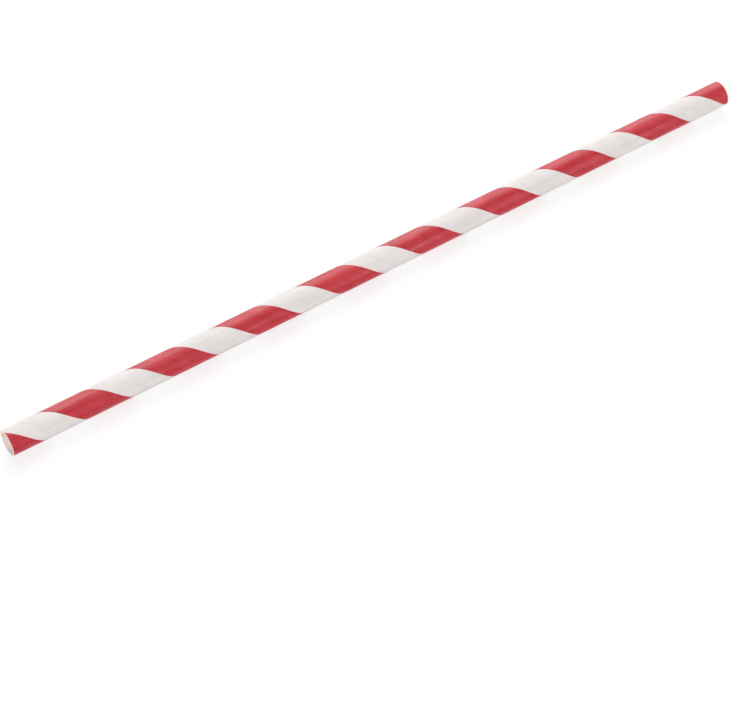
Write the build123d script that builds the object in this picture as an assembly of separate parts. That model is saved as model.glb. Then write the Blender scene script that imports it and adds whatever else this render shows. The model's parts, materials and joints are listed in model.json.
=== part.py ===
from build123d import *
import math
import os

# A paper drinking straw: three paper ribbons wound round one another
# and glued into a single stiff tube, then cut square to length.
# Sizes are in millimetres and angles in degrees.

# The tube as a whole
length = 200.0
outer_diameter = 6.25

# The paper, from the outside in: one thin printed ply over two core plies
printed_ply = 0.08
core_ply = 0.16
core_ply_count = 2

# The winding: how far a ribbon climbs in one turn, and the hairline
# gap where its edges meet, across the ribbon's own direction
ribbon_pitch = 22.6
outer_seam_gap = 0.14
inner_seam_gap = 0.20

# Where the printed ply's seam leaves the near end, from the side (+Y)
# towards the top, and how far each ply's seam is turned from the next
seam_start_angle = 0.0
ply_stagger = 120.0

# The knife presses a fine bevel on the rims, inside and out
rim_bevel = 0.05

# How far a cutter stands clear of the surface that it opens
cutter_clearance = 0.10

# Sizes that follow from those above
outer_radius = outer_diameter / 2
wall = printed_ply + core_ply_count * core_ply
bore_radius = outer_radius - wall
half_turn_climb = ribbon_pitch / 2


def tube_wall():
    """The wall's long thin section, its corners bevelled, turned about the tube's axis."""
    middle_radius = (outer_radius + bore_radius) / 2
    section = Rectangle(wall, length)
    section = chamfer(section.vertices(), rim_bevel)
    standing = Plane.XZ * Pos(middle_radius, length / 2) * section
    return revolve(standing, axis=Axis.Z)


def seam_line(radius, start_angle):
    """A right-handed helix in half turns, from before the near end to past the far one."""
    half_turn = Edge.make_helix(ribbon_pitch, half_turn_climb, radius)
    turns = range(-1, math.ceil(length / half_turn_climb) + 1)
    climbing = [
        Pos(0, 0, turn * half_turn_climb) * Rot(0, 0, start_angle + turn * 180) * half_turn
        for turn in turns
    ]
    return Wire(climbing)


def seam_groove(low_radius, high_radius, gap, start_angle):
    """What is missing between the neighbouring edges of one wound ribbon."""
    line = seam_line((low_radius + high_radius) / 2, start_angle)
    outward = Vector((line @ 0).X, (line @ 0).Y, 0)
    across = Plane(origin=line @ 0, x_dir=outward, z_dir=line % 0)
    return sweep(across * Rectangle(high_radius - low_radius, gap), path=line, is_frenet=True)


def straw_tube():
    """The glued tube, standing on its near end, with both visible seams open."""
    outer_seam = seam_groove(
        outer_radius - printed_ply,
        outer_radius + cutter_clearance,
        outer_seam_gap,
        seam_start_angle,
    )
    inner_seam = seam_groove(
        bore_radius - cutter_clearance,
        bore_radius + core_ply,
        inner_seam_gap,
        seam_start_angle + core_ply_count * ply_stagger,
    )
    return tube_wall() - outer_seam - inner_seam


# The straw lies along X on the ground, its middle over the origin and
# its near end at -X
lying = Plane(origin=(-length / 2, 0, outer_radius), x_dir=(0, 1, 0), z_dir=(1, 0, 0))
straw = lying * straw_tube()
straw.label = "straw_tube"

os.makedirs("parts", exist_ok=True)
export_step(straw, "parts/straw_tube.step")
print("straw_tube", round(straw.volume, 1), "cubic millimetres", straw.bounding_box().size)
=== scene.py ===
# %% [markdown]
# # A paper drinking straw
# This lesson dresses a wound paper straw. The real thing is made on a machine
# that winds three glued paper ribbons round a steel rod, one over another, and
# cuts the endless tube to length. So everything that shows, the fine seam, the
# grain of the paper and the red stripe, climbs round the tube at one angle.
# The construction model gives its length, its diameter and its bore, and this
# script reads them from there.

# %% Load the frame that the straw is built in
import json
import math

import bmesh
import bpy
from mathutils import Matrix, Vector


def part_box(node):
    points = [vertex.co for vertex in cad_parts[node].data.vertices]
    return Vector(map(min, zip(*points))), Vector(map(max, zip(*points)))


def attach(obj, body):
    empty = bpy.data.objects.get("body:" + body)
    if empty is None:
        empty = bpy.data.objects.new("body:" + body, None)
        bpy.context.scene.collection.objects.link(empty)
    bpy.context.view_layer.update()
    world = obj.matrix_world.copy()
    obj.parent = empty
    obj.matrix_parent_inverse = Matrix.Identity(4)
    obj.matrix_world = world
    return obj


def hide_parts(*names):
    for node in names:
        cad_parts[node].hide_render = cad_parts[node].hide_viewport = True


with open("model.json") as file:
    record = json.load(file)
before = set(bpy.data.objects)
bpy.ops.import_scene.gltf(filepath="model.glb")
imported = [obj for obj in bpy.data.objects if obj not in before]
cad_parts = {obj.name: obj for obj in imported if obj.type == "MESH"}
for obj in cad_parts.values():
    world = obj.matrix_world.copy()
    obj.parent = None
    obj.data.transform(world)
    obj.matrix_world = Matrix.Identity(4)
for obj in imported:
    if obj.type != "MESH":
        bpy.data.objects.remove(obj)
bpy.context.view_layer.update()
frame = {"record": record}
tube_low, tube_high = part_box("straw_tube")
print("the straw's box runs from", tube_low, "to", tube_high)

# %% [markdown]
# ## Sizes
# Blender works in metres, and a straw is made in millimetres, so one name
# turns one into the other. The overall sizes come from the frame. The others
# are a straw maker's: how far a ribbon climbs in one turn, how thick each ply
# is, how wide the hairline gap is where a ribbon's edges meet, and how fine a
# bevel the knife presses on the rims.

# %% The straw's sizes
MM = 0.001

length = tube_high[0] - tube_low[0]
near_end = tube_low[0]
outer_radius = (tube_high[2] - tube_low[2]) / 2
axis_height = (tube_high[2] + tube_low[2]) / 2
bore_mount = next(m for m in frame["record"]["mounts"] if m["name"] == "bore")
bore_radius = bore_mount["dims"]["r_mm"] * MM

ribbon_pitch = 22.6 * MM
printed_ply = 0.08 * MM
core_ply = 0.16 * MM
outer_seam_gap = 0.14 * MM
inner_seam_gap = 0.20 * MM
inner_seam_turn = 240 / 360
rim_bevel = 0.05 * MM

full_turn = 2 * math.pi
winding_angle = math.atan2(ribbon_pitch, full_turn * outer_radius)
ribbon_width = ribbon_pitch * math.cos(winding_angle)
print("the ribbon covers", round(ribbon_width / MM, 2), "mm across, wound at",
      round(math.degrees(winding_angle), 1), "degrees")

# %% [markdown]
# ## A short way to write nodes
# Geometry Nodes and materials are both graphs of nodes. Written out in full, a
# simple sum takes four lines. Two small classes make them read like ordinary
# Python. The first wraps one socket, so that a sum such as `1 - mask * 0.5` adds
# the Math nodes by itself.

# %% Sockets that can be added and multiplied
class Socket:
    """An output socket of a node, ready for Python's own arithmetic."""

    def __init__(self, graph, output):
        self.graph = graph
        self.output = output

    def math(self, operation, *others):
        return self.graph.sum(operation, self, *others)

    def __add__(self, other):
        return self.math("ADD", other)

    def __sub__(self, other):
        return self.math("SUBTRACT", other)

    def __mul__(self, other):
        return self.math("MULTIPLY", other)

    def __truediv__(self, other):
        return self.math("DIVIDE", other)

    def __rsub__(self, other):
        return self.graph.sum("SUBTRACT", other, self)

    def __rtruediv__(self, other):
        return self.graph.sum("DIVIDE", other, self)

    __radd__ = __add__
    __rmul__ = __mul__

    def of(self, name):
        """Another output of the node that this socket belongs to."""
        return Socket(self.graph, self.output.node.outputs[name])

    def floor(self):
        return self.math("FLOOR")

    def size(self):
        return self.math("ABSOLUTE")

    def clamped(self, low=0.0, high=1.0):
        return self.math("MAXIMUM", low).math("MINIMUM", high)


print("a sum such as 1 - mask adds its own Math nodes")

# %% [markdown]
# The other class wraps a whole node tree. Its `add` makes any node in one call
# and gives back the node's first output, so that calls can be nested.

# %% A node tree to write in
class Graph:
    """A node tree of either kind, while it is being written."""

    def __init__(self, tree):
        self.tree = tree
        self.tree.nodes.clear()

    def add(self, kind, settings=None, values=None, output=0):
        """Makes any node: its settings first, then what its sockets are fed."""
        node = self.tree.nodes.new(kind)
        for name, value in (settings or {}).items():
            setattr(node, name, value)
        for name, value in (values or {}).items():
            self.feed(node.inputs[name], value)
        return Socket(self, node.outputs[output]) if len(node.outputs) else node

    def feed(self, socket, value):
        if isinstance(value, Socket):
            self.tree.links.new(value.output, socket)
        else:
            socket.default_value = value

    def sum(self, operation, *terms):
        """One Math node; its terms are sockets or plain numbers."""
        terms = dict(enumerate(terms))
        return self.add("ShaderNodeMath", {"operation": operation}, terms)


print("every node comes from Graph.add")

# %% [markdown]
# ## The paper's own directions
# Paper has a grain. Its fibres lie along the ribbon, and the printed stripe runs
# down the ribbon too, so a pattern has to be drawn on the ribbon as it lay flat,
# before it was wound. The sum below unwinds a point of the tube. `across` counts
# from the ribbon's edge, which is the seam, and `along` runs on without a break
# from turn to turn. An image would need a UV map and would blur close up; a sum
# stays sharp at any distance.

# %% Unwind the tube into a flat ribbon
class FlatRibbon:
    """Where a point of the wound tube lies on the flat ribbon, in millimetres."""

    def __init__(self, graph, radius=outer_radius, seam_turn=0.0):
        girth = full_turn * radius
        angle = math.atan2(ribbon_pitch, girth)
        here = graph.add("ShaderNodeTexCoord", output="Object")
        spot = graph.add("ShaderNodeSeparateXYZ", {}, {0: here})
        self.climb = spot - near_end
        self.side = spot.of("Y")
        self.up = spot.of("Z") - axis_height
        around = self.up.math("ARCTAN2", self.side) / full_turn
        wound = self.climb / ribbon_pitch - around - seam_turn
        turn = wound.floor()
        self.across = (wound - turn) * (ribbon_pitch * math.cos(angle) / MM)
        level = (around + turn) * (girth * math.cos(angle) / MM)
        self.along = level + self.climb * (math.sin(angle) / MM)


one_turn = math.hypot(full_turn * outer_radius, ribbon_pitch)
print("one turn of the outer ribbon takes", round(one_turn / MM, 1), "mm of paper")

# %% [markdown]
# ## Patterns on paper
# Paper is never quite even. A scan of a real sheet would show that, but it would
# repeat along the ribbon, so these patterns are noise. `fibres` is noise drawn out
# along the ribbon's grain, and `streaks` is noise drawn out along the tube. Both
# swing about 0, so that adding one to a colour leaves its average as it is.

# %% Noise in the ribbon's directions and the tube's
def noise(graph, dimensions, place, detail, roughness):
    """Noise that swings about 0; its place is already scaled to its grain."""
    spot = graph.add("ShaderNodeCombineXYZ", {}, place)
    cloudy = graph.add(
        "ShaderNodeTexNoise",
        {"noise_dimensions": dimensions},
        {"Vector": spot, "Scale": 1.0, "Detail": detail, "Roughness": roughness},
    )
    return cloudy - 0.5


def fibres(graph, ribbon, fibre_length, fibre_width, detail=3.0):
    place = {"X": ribbon.along / fibre_length, "Y": ribbon.across / fibre_width}
    return noise(graph, "2D", place, detail, roughness=0.55)


def streaks(graph, ribbon, streak_length, streak_width):
    """Faint lines along the tube, from the rod inside and the rollers outside."""
    place = {
        "X": ribbon.climb / (streak_length * MM),
        "Y": ribbon.side / (streak_width * MM),
        "Z": ribbon.up / (streak_width * MM),
    }
    return noise(graph, "3D", place, detail=4.0, roughness=0.6)


print("noise runs along the ribbon, or along the tube")

# %% [markdown]
# Print and glue have edges, which noise lacks. `band` is a stripe with soft
# edges, worked out from the distance to its middle line. `blend` and `shaded`
# handle its colours, which a Math node would turn grey.

# %% Stripes and colours
def band(distance, half_width, softness):
    """1 inside the band, 0 outside, and a soft step at its edge."""
    return ((half_width - distance) / softness + 0.5).clamped()


def blend(graph, share, first, second):
    """A colour between two others."""
    return graph.add(
        "ShaderNodeMix",
        {"data_type": "RGBA"},
        {0: share, 6: first, 7: second},
        output=2,
    )


def shaded(graph, colour, shade):
    """One colour, lighter or darker from place to place."""
    return graph.add(
        "ShaderNodeVectorMath",
        {"operation": "SCALE"},
        {0: colour[:3], "Scale": shade},
    )


print("a band's soft edge is as wide as its softness")

# %% [markdown]
# ## What all paper does
# Both papers end in one shader. Paper is rough and faintly glossy, with its grain
# in relief. It is not quite opaque either: light spreads a quarter of a
# millimetre inside it, and some comes out on the other side. That is why the bore
# of a real paper straw is warm and light, not black. Red light goes furthest, as
# it does in most pale fibres. A translucent shader mixed in could let light
# through too, but a little subsurface scattering also softens the shading.

# %% The shader of both papers
light_spread = 0.25 * MM
spread_by_colour = (1.0, 0.8, 0.7)


def paper_shader(graph, colour, roughness, bump_height, bump_depth, specular):
    relief = graph.add(
        "ShaderNodeBump",
        {},
        {"Height": bump_height, "Strength": 1.0, "Distance": bump_depth},
    )
    shader = graph.add(
        "ShaderNodeBsdfPrincipled",
        {},
        {
            "Base Color": colour,
            "Roughness": roughness,
            "Specular IOR Level": specular,
            "Normal": relief,
            "Subsurface Weight": 1.0,
            "Subsurface Radius": spread_by_colour,
            "Subsurface Scale": light_spread,
        },
    )
    graph.add("ShaderNodeOutputMaterial", {}, {"Surface": shader})


def new_material(name):
    material = bpy.data.materials.new(name)
    material.use_nodes = True
    return material, Graph(material.node_tree)


print("light spreads", round(light_spread / MM, 2), "mm inside the paper")

# %% [markdown]
# ## Printed paper
# The outer ply is smooth white paper with one broad red stripe printed down it
# before it is slit and wound. The stripe sits a little nearer one edge, so the
# seam climbs through the white and not through its middle. Ink lies in a thin
# glossy film. It hides the fibres' colour but not their relief, and it shines
# unevenly, more along the faint lines that the rollers leave. It is a touch
# denser where the plate squeezes it out at the stripe's edges, and those edges
# wander by a few hundredths of a millimetre as the fibres take it up.
#
# An image of the stripe would do too, but sums on the flat ribbon keep its edge
# crisp however close the camera comes, and one number moves it.

# %% The white ply and its red stripe
stripe_from_edge = 3.91
stripe_width = 7.75
stripe_wander = 0.09
squeezed_rim = 0.16
ink_average = 0.42
ink_gloss = 0.47
sheet_roughness = 0.86
paper_white = (0.86, 0.808, 0.792, 1.0)
ink_red = (0.66, 0.034, 0.061, 1.0)
ink_dense = (0.50, 0.0, 0.008, 1.0)


def printed_paper():
    material, graph = new_material("printed_paper")
    ribbon = FlatRibbon(graph)

    grain = fibres(graph, ribbon, fibre_length=3.0, fibre_width=0.30)
    cloud = fibres(graph, ribbon, fibre_length=5.0, fibre_width=2.4, detail=2.0)
    wander = fibres(graph, ribbon, fibre_length=0.5, fibre_width=4.0, detail=4.0)
    polish = streaks(graph, ribbon, streak_length=16.0, streak_width=1.3)

    middle = stripe_from_edge + stripe_width / 2
    from_middle = (ribbon.across - middle).size() + wander * stripe_wander
    ink = band(from_middle, stripe_width / 2, softness=0.05)
    inside = band(from_middle, stripe_width / 2 - squeezed_rim, softness=0.12)
    squeezed = ink * (1 - inside)

    shade = grain * 0.13 + cloud * 0.12 + polish * 0.20 + 1.0
    white = shaded(graph, paper_white, shade)
    density = squeezed * 0.4 + grain * 0.8 + cloud + polish * 1.7 + ink_average
    red = blend(graph, density.clamped(), ink_red, ink_dense)
    colour = blend(graph, ink, white, red)

    gloss = grain * 0.3 + polish * 0.7 + ink_gloss
    roughness = sheet_roughness - ink * gloss + cloud * 0.12
    height = grain * 0.5 + cloud * 0.6 + polish * 11.0
    paper_shader(graph, colour, roughness, height, bump_depth=0.010 * MM, specular=0.38)
    return material


printed = printed_paper()
print(printed.name, "has a stripe", stripe_width, "mm wide")

# %% [markdown]
# ## Bare paper
# Inside, and on the cut ends, the paper is unprinted and a little creamier. The
# cut shows the three plies as rings, with a fine dark line of glue between them,
# and the knife leaves the fibres standing up as a soft matt edge. One material
# does for both, because a ring depends only on how far a point is from the axis,
# and no ring reaches the bore.

# %% The inner ply and the cut ends
paper_cream = (0.96, 0.87, 0.825, 1.0)
glue_brown = (0.52, 0.46, 0.38, 1.0)
glue_line = 0.012
glue_shows = 0.6
bare_roughness = 0.82
ply_edges = [
    outer_radius - printed_ply,
    outer_radius - printed_ply - core_ply,
]


def bare_paper():
    material, graph = new_material("bare_paper")
    ribbon = FlatRibbon(graph, bore_radius, inner_seam_turn)

    grain = fibres(graph, ribbon, fibre_length=1.6, fibre_width=0.20)
    cloud = fibres(graph, ribbon, fibre_length=3.0, fibre_width=1.6, detail=2.0)
    from_axis = (ribbon.side * ribbon.side + ribbon.up * ribbon.up).math("SQRT")
    glued = 0.0
    for radius in ply_edges:
        from_glue = (from_axis - radius).size() / MM
        glued = glued + band(from_glue, glue_line, softness=0.014)

    cream = shaded(graph, paper_cream, grain * 0.14 + cloud * 0.10 + 1.0)
    colour = blend(graph, glued.clamped() * glue_shows, cream, glue_brown)
    roughness = cloud * 0.08 + bare_roughness
    height = grain * 0.6 + cloud * 0.4 - glued * 0.8
    paper_shader(graph, colour, roughness, height, bump_depth=0.012 * MM, specular=0.3)
    return material


bare = bare_paper()
print(bare.name, "shows", len(ply_edges), "glue lines on the cut")

# %% [markdown]
# ## Winding the tube
# A tube of wound ribbon follows one rule, so Geometry Nodes make it. A flat grid
# is rolled up: its columns go round the tube, and its rows follow the seam and
# climb one pitch a turn. Two such skins, outside and bore, are closed by two
# ring-shaped cut faces. The result is one closed wall with its real thickness, so
# it looks right from the end as well. A strip wound by a Screw modifier would be
# quicker, but its seam and its square cut would have to be mended by hand.
#
# The class below holds what every part of the wall shares: the sizes, the flat
# grid, and the way that a point of the grid comes to lie on the tube.

# %% A flat sheet, and how it is rolled up
columns = 144


class Winding:
    """What the skins and cut faces share while the tree is written."""

    def __init__(self, graph, sizes):
        self.graph = graph
        self.sizes = sizes

    def sheet(self, rows):
        """A flat grid, and each point's share of the way along its two sides."""
        grid = self.graph.add(
            "GeometryNodeMeshGrid",
            {},
            {
                "Size X": 1.0,
                "Size Y": 1.0,
                "Vertices X": columns + 1,
                "Vertices Y": rows + 1,
            },
        )
        here = self.graph.add("GeometryNodeInputPosition")
        spot = self.graph.add("ShaderNodeSeparateXYZ", {}, {0: here})
        return grid, spot + 0.5, spot.of("Y") + 0.5

    def wrapped(self, climb, radius, around):
        """Where a point of the flat grid comes to lie on the tube."""
        angle = around * full_turn
        return self.graph.add(
            "ShaderNodeCombineXYZ",
            {},
            {
                "X": climb + self.sizes["Near End"],
                "Y": radius * angle.math("COSINE"),
                "Z": radius * angle.math("SINE") + self.sizes["Axis Height"],
            },
        )

    def roll(self, grid, place, flip):
        """Moves the grid's points to their places, and turns it over if asked."""
        rolled = self.graph.add(
            "GeometryNodeSetPosition", {}, {"Geometry": grid, "Position": place}
        )
        if not flip:
            return rolled
        return self.graph.add("GeometryNodeFlipFaces", {}, {"Mesh": rolled})


print(columns, "columns round the tube")

# %% [markdown]
# Where a ribbon's edges meet, its own thickness is missing. How deep that leaves
# a point depends only on how far it is from the seam line, so one sum cuts the
# seam into a skin and the matching notch into a cut end. A Boolean with a wound
# cutter would do it too, but slowly and with ragged faces. The step is a smooth
# one, because the slitting knife leaves a paper edge a little rounded.

# %% A side of the wall, and its open seam
seam_lip = 0.5
seam_floor = 0.3


class Side:
    """One side of the wall, and the open seam of the ply that shows there."""

    def __init__(self, winding, radius, ply, gap, start, outward):
        self.winding = winding
        self.radius = radius
        self.ply = ply
        self.start = start
        self.outward = outward
        pitch = winding.sizes["Pitch"]
        angle = pitch.math("ARCTAN2", radius * full_turn)
        self.gap_share = gap / (pitch * angle.math("COSINE"))

    def surface(self, climb, around):
        """The side's radius at a point, one ply deeper inside the seam's gap."""
        wound = climb / self.winding.sizes["Pitch"] - around - self.start
        from_seam = (wound - (wound + 0.5).floor()).size()
        groove = self.winding.graph.add(
            "ShaderNodeMapRange",
            {"interpolation_type": "SMOOTHSTEP"},
            {
                "Value": from_seam,
                "From Min": self.gap_share * seam_lip,
                "From Max": self.gap_share * seam_floor,
                "To Min": 0.0,
                "To Max": self.ply,
            },
        )
        return self.radius - groove if self.outward else self.radius + groove


print("the seam's walls fill the outer", round(1 - seam_floor / seam_lip, 2),
      "of its half width")

# %% [markdown]
# One function makes both skins. Rows crowd together at the seam and are wide
# apart on the paper. `MAXIMUM` picks between two straight lines, the fine steps
# across the seam and the wide steps across the paper, because they cross just
# where the seam ends. Rows that would pass a cut end are held on the cut, as the
# knife would have it.

# %% A skin of wound ribbon
seam_rows = 6
ribbon_rows = 12
turn_rows = seam_rows - 1 + ribbon_rows
turns_before = 2
turns_after = 1


def skin(winding, side):
    sizes = winding.sizes
    share = side.gap_share
    turns_needed = (sizes["Length"] / sizes["Pitch"]).math("CEIL")
    rows = (turns_needed + (turns_before + turns_after)) * turn_rows
    grid, around, up = winding.sheet(rows)

    row = (up * rows + 0.5).floor()
    turn = (row / turn_rows).floor()
    step = row - turn * turn_rows
    fine = (step / (seam_rows - 1) - 0.5) * share
    wide = (step - (seam_rows - 1)) * ((1 - share) / ribbon_rows) + share * 0.5
    wound = turn + fine.math("MAXIMUM", wide) + around + side.start - turns_before

    bevel = sizes["Rim Bevel"]
    climb = (wound * sizes["Pitch"]).clamped(bevel, sizes["Length"] - bevel)
    place = winding.wrapped(climb, side.surface(climb, around), around)
    return winding.roll(grid, place, flip=not side.outward)


print(turn_rows, "rows a turn,", seam_rows, "of them across the seam")

# %% [markdown]
# A cut end is a ring of paper between the two sides. Filling the hole between
# them would make one flat face of it. A grid of its own takes the fine bevel that
# the knife presses on both rims, and the fibres between them, which it leaves a
# few hundredths of a millimetre uneven. Its rims come from the same sums as the
# skins, notches and all, so they meet the skins exactly.

# %% A cut end
face_rows = 16
knife_fuzz = 0.02 * MM
knife_fuzz_grain = 0.8 * MM


def cut_face(winding, outside, bore, far):
    """The ring of paper that the knife leaves, bevelled at both rims."""
    bevel = winding.sizes["Rim Bevel"]
    grid, around, inward = winding.sheet(face_rows)
    climb = winding.sizes["Length"] - bevel if far else bevel

    outer = outside.surface(climb, around)
    inner = bore.surface(climb, around)
    radius = outer + (inner - outer) * inward
    rise = (outer - radius).math("MINIMUM", radius - inner).math("MINIMUM", bevel)
    fuzz = winding.graph.add(
        "ShaderNodeTexNoise",
        {"noise_dimensions": "3D"},
        {
            "Vector": winding.wrapped(climb, radius, around),
            "Scale": 1.0 / knife_fuzz_grain,
            "Detail": 2.0,
        },
    )
    proud = rise - fuzz * rise * (knife_fuzz / rim_bevel)
    face_climb = climb + proud if far else climb - proud
    place = winding.wrapped(face_climb, radius, around)
    return winding.roll(grid, place, flip=not far)


cut_width = outer_radius - bore_radius
print(face_rows, "rows across a cut", round(cut_width / MM, 2), "mm wide")

# %% [markdown]
# The wall has four parts, both skins and both cut ends. The outer skin carries a
# mark, which is how it gets the printed paper at the end, while the bore and the
# cut ends keep the bare one.

# %% The four parts of the wall
printed_mark = "printed_side"


def wall_parts(winding):
    sizes = winding.sizes
    outside = Side(
        winding,
        radius=sizes["Outer Radius"],
        ply=sizes["Printed Ply"],
        gap=sizes["Outer Seam Gap"],
        start=0.0,
        outward=True,
    )
    bore = Side(
        winding,
        radius=sizes["Bore Radius"],
        ply=sizes["Core Ply"],
        gap=sizes["Inner Seam Gap"],
        start=sizes["Inner Seam Turn"],
        outward=False,
    )
    marked = winding.graph.add(
        "GeometryNodeStoreNamedAttribute",
        {"data_type": "BOOLEAN", "domain": "FACE"},
        {"Geometry": skin(winding, outside), "Name": printed_mark, "Value": True},
    )
    near = cut_face(winding, outside, bore, far=False)
    far = cut_face(winding, outside, bore, far=True)
    return marked, skin(winding, bore), near, far


print("the outer skin is marked", printed_mark)

# %% [markdown]
# The parts are joined, and the rims that they share are merged. Paper that bends
# round the tube is shaded smooth, and only what a knife has cut keeps its edge.

# %% Close the wall
merge_distance = 0.002 * MM
sharpest_smooth_fold = math.radians(35)


def closed_wall(graph, parts):
    joined = graph.add("GeometryNodeJoinGeometry")
    for part in parts:
        graph.tree.links.new(part.output, joined.output.node.inputs["Geometry"])
    merged = graph.add(
        "GeometryNodeMergeByDistance",
        {},
        {"Geometry": joined, "Distance": merge_distance},
    )
    smooth = graph.add(
        "GeometryNodeSetShadeSmooth",
        {"domain": "FACE"},
        {"Geometry": merged, "Shade Smooth": True},
    )
    fold = graph.add("GeometryNodeInputMeshEdgeAngle")
    sharp = fold.math("GREATER_THAN", sharpest_smooth_fold)
    return graph.add(
        "GeometryNodeSetShadeSmooth",
        {"domain": "EDGE"},
        {"Geometry": smooth, "Selection": sharp, "Shade Smooth": False},
    )


print("rims closer than", merge_distance / MM, "mm are merged")

# %% [markdown]
# Each face gets its paper by the mark. Set Material comes last in the tree, after
# Realize Instances, so that the plain mesh keeps both papers.

# %% Paper the wall
def papered(graph, wall):
    """Bare paper all over, then printed paper on the faces that are marked."""
    real = graph.add("GeometryNodeRealizeInstances", {}, {"Geometry": wall})
    plain = graph.add(
        "GeometryNodeSetMaterial", {}, {"Geometry": real, "Material": bare}
    )
    marked = graph.add(
        "GeometryNodeInputNamedAttribute",
        {"data_type": "BOOLEAN"},
        {"Name": printed_mark},
    )
    return graph.add(
        "GeometryNodeSetMaterial",
        {},
        {"Geometry": plain, "Selection": marked, "Material": printed},
    )


print("papers:", bare.name, "all over, then", printed.name)

# %% [markdown]
# The tree takes the straw's sizes as named inputs, so another straw is the same
# tree with other numbers. They are listed here, with this straw's own.

# %% The tree that winds a tube
straw_sizes = {
    "Length": length,
    "Near End": near_end,
    "Axis Height": axis_height,
    "Outer Radius": outer_radius,
    "Bore Radius": bore_radius,
    "Pitch": ribbon_pitch,
    "Printed Ply": printed_ply,
    "Core Ply": core_ply,
    "Outer Seam Gap": outer_seam_gap,
    "Inner Seam Gap": inner_seam_gap,
    "Inner Seam Turn": inner_seam_turn,
    "Rim Bevel": rim_bevel,
}


def wound_tube_tree(sizes):
    tree = bpy.data.node_groups.new("wound_paper_tube", "GeometryNodeTree")
    for name, value in sizes.items():
        socket = tree.interface.new_socket(
            name, in_out="INPUT", socket_type="NodeSocketFloat"
        )
        socket.default_value = value
    tree.interface.new_socket(
        "Tube", in_out="OUTPUT", socket_type="NodeSocketGeometry"
    )
    graph = Graph(tree)
    inputs = graph.add("NodeGroupInput")
    winding = Winding(graph, {name: inputs.of(name) for name in sizes})
    wall = closed_wall(graph, wall_parts(winding))
    graph.add("NodeGroupOutput", {}, {"Tube": papered(graph, wall)})
    return tree


tube_tree = wound_tube_tree(straw_sizes)
print(tube_tree.name, "has", len(tube_tree.nodes), "nodes and", len(straw_sizes),
      "sizes")

# %% [markdown]
# A modifier on an empty mesh runs the tree. Its inputs are set by each socket's
# identifier. The evaluated result becomes a plain mesh, and the modifier goes
# away. A grid brings an empty first material slot that no face uses, so that slot
# is taken out.

# %% Wind the straw
def wind_tube(name, tree, sizes):
    carrier = bpy.data.objects.new(name, bpy.data.meshes.new(name))
    bpy.context.scene.collection.objects.link(carrier)
    modifier = carrier.modifiers.new("wind", "NODES")
    modifier.node_group = tree
    for socket in tree.interface.items_tree:
        if socket.in_out == "INPUT":
            modifier[socket.identifier] = sizes[socket.name]
    view = bpy.context.evaluated_depsgraph_get()
    mesh = bpy.data.meshes.new_from_object(carrier.evaluated_get(view))
    carrier.modifiers.remove(modifier)
    carrier.data = mesh
    mesh.name = name
    mesh.materials.pop(index=0)
    return carrier


tube = wind_tube("wound_tube", tube_tree, straw_sizes)
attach(tube, "root")
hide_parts("straw_tube")
print(tube.name, "wears", [paper.name for paper in tube.data.materials])

# %% [markdown]
# The skins and the cut faces were made apart, so it's worth a look that they
# closed. A closed wall has no open edge, and its volume is near the plain one's:
# the wall's ring times the length, less what the two seams take away.

# %% Is the wall closed?
check = bmesh.new()
check.from_mesh(tube.data)
open_edges = sum(1 for edge in check.edges if not edge.is_manifold)
volume = check.calc_volume(signed=True)
triangles = sum(len(face.verts) - 2 for face in check.faces)
check.free()
ring = math.pi * (outer_radius**2 - bore_radius**2) * length
print("open edges:", open_edges, " triangles:", triangles)
print("volume", round(volume / MM**3, 1), "mm3, plain ring",
      round(ring / MM**3, 1), "mm3")

# %% [markdown]
# ## The table
# The straw lies on a plain white table. The table is seen as plain white, but
# near the straw it keeps part of its own shading, so the straw's soft shadow
# shows that it lies on something. A brighter lamp would whiten the table too, but
# it would bleach the straw with it. The Light Path node tells what looks at the
# table from the light that the table gives, so only the first is whitened.

# %% The table's white
table_grey = (0.80, 0.80, 0.80, 1.0)
pure_white = (1.0, 1.0, 1.0, 1.0)
table_lift = 1.2
white_near = 0.6
fade_start = 0.2
fade_width = 0.3


def seen_as_white(graph):
    """1 for what looks at the surroundings, 0 for the light that they give."""
    path = graph.add("ShaderNodeLightPath")
    seen = path.math("MAXIMUM", path.of("Is Glossy Ray"))
    return seen.math("MAXIMUM", path.of("Is Transmission Ray"))


def table_material():
    material, graph = new_material("white_table")
    seen = seen_as_white(graph)
    matt = graph.add("ShaderNodeBsdfDiffuse", {}, {"Color": table_grey})
    lift = graph.add(
        "ShaderNodeEmission", {}, {"Color": pure_white, "Strength": table_lift}
    )
    here = graph.add("ShaderNodeTexCoord", output="Object")
    from_straw = graph.add(
        "ShaderNodeVectorMath", {"operation": "LENGTH"}, {0: here}, output="Value"
    )
    far = ((from_straw - fade_start) / fade_width).clamped()
    whiter = seen * (far * (1 - white_near) + white_near)
    both = graph.add("ShaderNodeMixShader", {}, {0: whiter, 1: matt, 2: lift})
    graph.add("ShaderNodeOutputMaterial", {}, {"Surface": both})
    return material


print("the table's shading fades out", fade_start + fade_width, "m from the middle")

# %% [markdown]
# A real table has thickness, but its edge is far out of view, so one square face
# does. Its top is at height 0, where the straw lies.

# %% The table
table_reach = 1.5
table_corners = [
    (-table_reach, -table_reach, 0.0),
    (table_reach, -table_reach, 0.0),
    (table_reach, table_reach, 0.0),
    (-table_reach, table_reach, 0.0),
]
table_mesh = bpy.data.meshes.new("table")
table_mesh.from_pydata(table_corners, [], [(0, 1, 2, 3)])
table_mesh.materials.append(table_material())
table = bpy.data.objects.new("table", table_mesh)
bpy.context.scene.collection.objects.link(table)
print(table.name, "is", 2 * table_reach, "m square")

# %% [markdown]
# ## The room
# A room with white walls lights the straw from all round and fills its shadows.
# It is dim beside the softboxes, so that the straw keeps its roundness, but it is
# seen as plain white, as the table is. An image of a real studio would light as
# well, but it would not be plain.

# %% The room
room_light = 0.22

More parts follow.
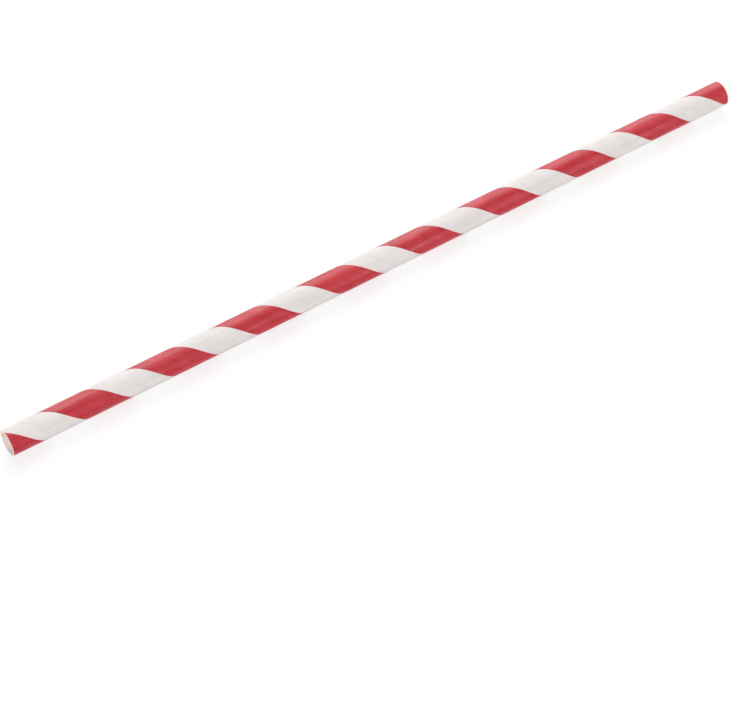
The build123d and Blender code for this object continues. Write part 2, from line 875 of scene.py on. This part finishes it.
world = bpy.data.worlds.new("white_room")
world.use_nodes = True
bpy.context.scene.world = world
room = Graph(world.node_tree)
strength = seen_as_white(room) * (1.0 - room_light) + room_light
glow = room.add(
    "ShaderNodeBackground", {}, {"Color": pure_white, "Strength": strength}
)
room.add("ShaderNodeOutputWorld", {}, {"Surface": glow})
print("the room lights at", room_light, "of the white that is seen")

# %% [markdown]
# ## The softboxes
# White paper on a white table can only be told apart by its shading, so the light
# is soft but not flat. Two softboxes behind the straw light its top and draw the
# broad sheen along the red. A low one on the right draws the fainter line along
# its front. It stands close by, so that the front gets a little lighter towards
# the far end. The last one stands well back, to the left of the camera. It
# lights the front evenly and shines into the open end. Small lamps would be
# simpler, but they would draw hard glints on the ink.

# %% The softboxes
def softbox(name, direction, distance, width, height, power):
    """A flat, soft lamp that looks at the straw from a direction."""
    lamp = bpy.data.lights.new(name, "AREA")
    lamp.shape = "RECTANGLE"
    lamp.size = width
    lamp.size_y = height
    lamp.energy = power
    box = bpy.data.objects.new(name, lamp)
    bpy.context.scene.collection.objects.link(box)
    towards = Vector(direction).normalized()
    box.rotation_euler = towards.to_track_quat("Z", "Y").to_euler()
    box.location = towards * distance
    print("softbox", name, "at", [round(c, 2) for c in box.location])


softbox("back_high", (0.30, 0.59, 0.78), 1.2, width=0.8, height=0.85, power=8.1)
softbox("back_low", (0.40, 0.86, 0.30), 1.2, width=0.8, height=0.45, power=3.3)
softbox("right", (0.45, -0.87, 0.22), 0.8, width=0.33, height=0.37, power=1.25)
softbox("front", (-0.78, -0.42, 0.55), 2.6, width=1.3, height=1.3, power=40.0)

# %% [markdown]
# ## The camera
# The camera stands well back with a long lens and looks down at about fifty
# degrees, so the straw hardly tapers. It aims at a point on the table and is
# turned a little more than a third of a right angle round from square on. These
# figures were fitted to the photo: the straw's outline, its ends and the edges of
# its stripe fall where the photo has them.

# %% The camera
aim = Vector((-17.41, -19.24, 0.0)) * MM
heading = math.radians(33.39)
looking_down = math.radians(49.87)
camera_distance = 626.3 * MM

away = Vector(
    (
        -math.sin(heading) * math.cos(looking_down),
        -math.cos(heading) * math.cos(looking_down),
        math.sin(looking_down),
    )
)
lens = bpy.data.cameras.new("camera")
lens.sensor_fit = "HORIZONTAL"
lens.sensor_width = 36.0
lens.lens = 134.3
lens.clip_start = 0.01
camera = bpy.data.objects.new("camera", lens)
bpy.context.scene.collection.objects.link(camera)
camera.location = aim + away * camera_distance
camera.rotation_euler = away.to_track_quat("Z", "Y").to_euler()
bpy.context.scene.camera = camera
bpy.context.scene.view_settings.view_transform = "Standard"
print("camera at", [round(c, 4) for c in camera.location])
